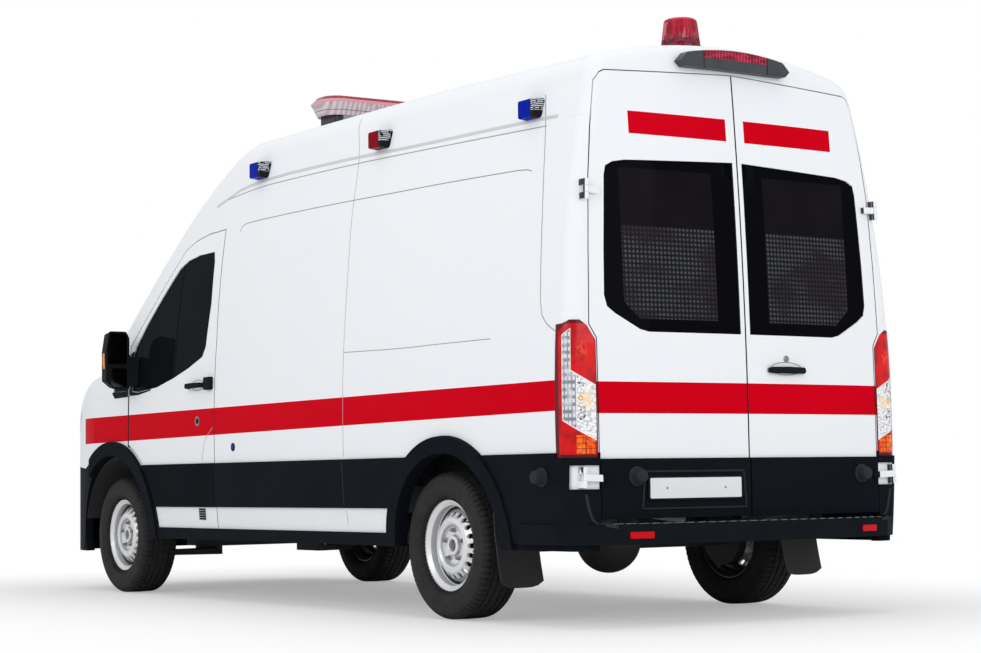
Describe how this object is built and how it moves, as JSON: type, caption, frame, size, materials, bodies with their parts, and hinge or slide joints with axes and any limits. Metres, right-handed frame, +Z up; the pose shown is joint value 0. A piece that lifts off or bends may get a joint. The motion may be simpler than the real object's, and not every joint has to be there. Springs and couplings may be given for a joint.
{
  "type": "high-roof van ambulance",
  "caption": "Long high-roof van body converted as an ambulance: hinged cab and rear doors, bonnet, steered front wheels and rolling rear wheels, roof warning lights.",
  "frame": {"origin": "on the ground under the middle of the vehicle's length and width", "axes": "+X forward, +Y to the vehicle's left, +Z up"},
  "size_m": [5.981, 2.474, 2.905],
  "materials": {
    "body_paint": "gloss",
    "black_plastic": "grained",
    "dark_metal": "satin black underseal",
    "tinted_glass": "dark tint",
    "clear_lens": "clear",
    "red_lens": "red",
    "blue_lens": "blue and red",
    "cast_alloy": "cast",
    "trim_plastic": "soft grained",
    "seat_fabric": "woven",
    "axle_iron": "satin black",
    "exhaust_steel": "dull",
    "tank_plastic": "matt",
    "wheel_paint": "silver",
    "tyre_rubber": "matt",
    "floor_paint": "grey"
  },
  "bodies": {
    "body": {"side_panel_left": "body_paint", "side_panel_right": "body_paint", "roof_high_top": "body_paint", "cab_pillars": "body_paint", "front_wings": "body_paint", "floor_and_firewall": "floor_paint", "bulkhead": "floor_paint", "fixed_glass": "tinted_glass", "front_bumper": "black_plastic", "grille": "black_plastic", "headlamps": "clear_lens", "engine": "cast_alloy", "dashboard": "trim_plastic", "steering_wheel": "trim_plastic", "cab_seats": "seat_fabric", "sliding_door": "body_paint", "side_mouldings": "black_plastic", "rear_bumper": "black_plastic", "rear_lamps": "red_lens", "roof_beacon": "red_lens", "light_bar": "red_lens", "marker_lamps": "blue_lens", "chassis_frame": "dark_metal", "rear_axle": "axle_iron", "prop_shaft": "dark_metal", "exhaust": "exhaust_steel", "fuel_tank": "tank_plastic"},
    "front_door_left": {"front_door_left": "body_paint", "front_glass_left": "tinted_glass", "mirror_left": "black_plastic"},
    "front_door_right": {"front_door_right": "body_paint", "front_glass_right": "tinted_glass", "mirror_right": "black_plastic"},
    "rear_door_left": {"rear_door_left": "body_paint", "rear_glass_left": "tinted_glass"},
    "rear_door_right": {"rear_door_right": "body_paint", "rear_glass_right": "tinted_glass"},
    "bonnet": {"bonnet": "body_paint"},
    "knuckle_left": {"knuckle_left": "axle_iron"},
    "knuckle_right": {"knuckle_right": "axle_iron"},
    "wheel_front_left": {"wheel_front_left": "wheel_paint", "tyre_front_left": "tyre_rubber"},
    "wheel_front_right": {"wheel_front_right": "wheel_paint", "tyre_front_right": "tyre_rubber"},
    "wheel_rear_left": {"wheel_rear_left": "wheel_paint", "tyre_rear_left": "tyre_rubber"},
    "wheel_rear_right": {"wheel_rear_right": "wheel_paint", "tyre_rear_right": "tyre_rubber"}
  },
  "joints": [
    {"name": "front_door_left_hinge", "type": "hinge", "parent": "body", "child": "front_door_left", "pos_m": [1.733, 1.019, 1.2], "axis": [0, 0, -1], "range_deg": [0, 70]},
    {"name": "front_door_right_hinge", "type": "hinge", "parent": "body", "child": "front_door_right", "pos_m": [1.733, -1.019, 1.2], "axis": [0, 0, 1], "range_deg": [0, 70]},
    {"name": "rear_door_left_hinge", "type": "hinge", "parent": "body", "child": "rear_door_left", "pos_m": [-2.852, 0.9125, 1.3225], "axis": [-0.0216, 0.0424, -0.9989], "range_deg": [0, 180]},
    {"name": "rear_door_right_hinge", "type": "hinge", "parent": "body", "child": "rear_door_right", "pos_m": [-2.852, -0.9125, 1.3225], "axis": [0.0216, 0.0424, 0.9989], "range_deg": [0, 180]},
    {"name": "bonnet_hinge", "type": "hinge", "parent": "body", "child": "bonnet", "pos_m": [2.288, 0, 1.356], "axis": [0, -1, 0], "range_deg": [0, 55]},
    {"name": "steer_left", "type": "hinge", "parent": "body", "child": "knuckle_left", "pos_m": [1.9675, 0.715, 0.356], "axis": [0, 0, 1], "range_deg": [-36, 36]},
    {"name": "steer_right", "type": "hinge", "parent": "body", "child": "knuckle_right", "pos_m": [1.9675, -0.715, 0.356], "axis": [0, 0, 1], "range_deg": [-36, 36]},
    {"name": "wheel_front_left_spin", "type": "hinge", "parent": "knuckle_left", "child": "wheel_front_left", "pos_m": [1.9675, 0.866, 0.356], "axis": [0, 1, 0], "continuous": true},
    {"name": "wheel_front_right_spin", "type": "hinge", "parent": "knuckle_right", "child": "wheel_front_right", "pos_m": [1.9675, -0.866, 0.356], "axis": [0, 1, 0], "continuous": true},
    {"name": "wheel_rear_left_spin", "type": "hinge", "parent": "body", "child": "wheel_rear_left", "pos_m": [-1.7825, 0.8715, 0.356], "axis": [0, 1, 0], "continuous": true},
    {"name": "wheel_rear_right_spin", "type": "hinge", "parent": "body", "child": "wheel_rear_right", "pos_m": [-1.7825, -0.8715, 0.356], "axis": [0, 1, 0], "continuous": true}
  ],
  "couplings": [
    {"joint": "steer_right", "follows": "steer_left", "ratio": 1}
  ]
}
